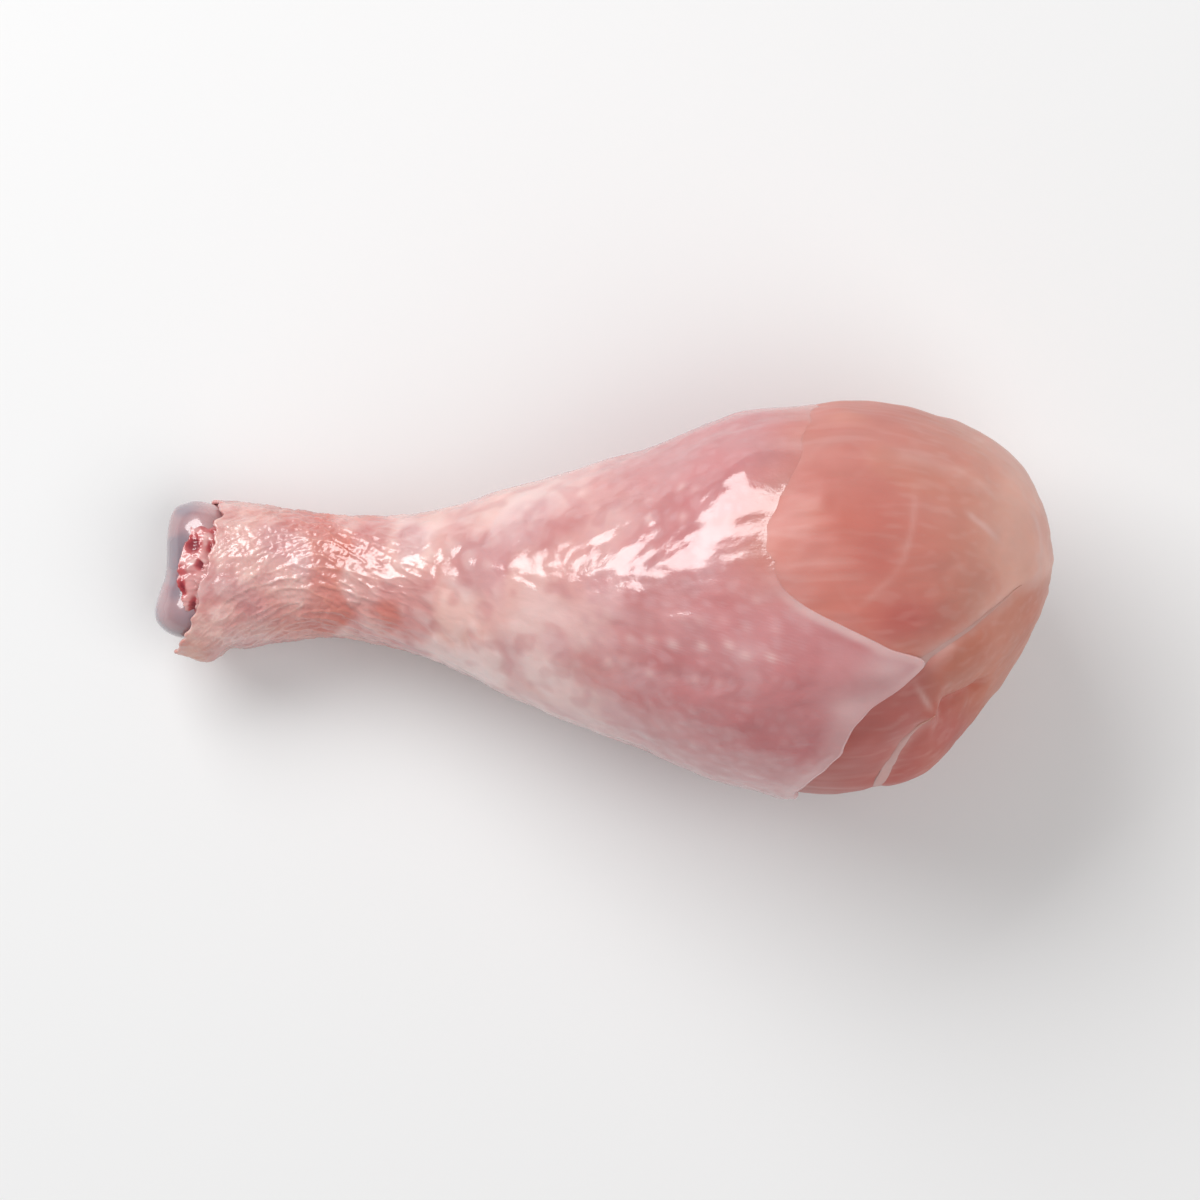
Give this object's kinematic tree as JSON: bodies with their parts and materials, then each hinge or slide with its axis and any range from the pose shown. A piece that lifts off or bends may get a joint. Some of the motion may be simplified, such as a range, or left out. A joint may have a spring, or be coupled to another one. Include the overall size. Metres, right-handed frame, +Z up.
{
  "type": "raw chicken drumstick",
  "caption": "Raw chicken drumstick lying on its side: bare meat at the knee end, a sleeve of skin, and cartilage at the ankle.",
  "frame": {"origin": "middle of the footprint, on the surface that the drumstick lies on", "axes": "+X along the leg towards the knee end, +Z up, +Y towards the side that the knee end's tip leans to"},
  "size_m": [0.118, 0.0531, 0.0463],
  "materials": {
    "meat": "moist, satin",
    "skin": "wet, uneven gloss",
    "cartilage": "wet gloss"
  },
  "bodies": {
    "root": {"meat": "meat", "skin": "skin", "bone": "cartilage"}
  },
  "joints": []
}
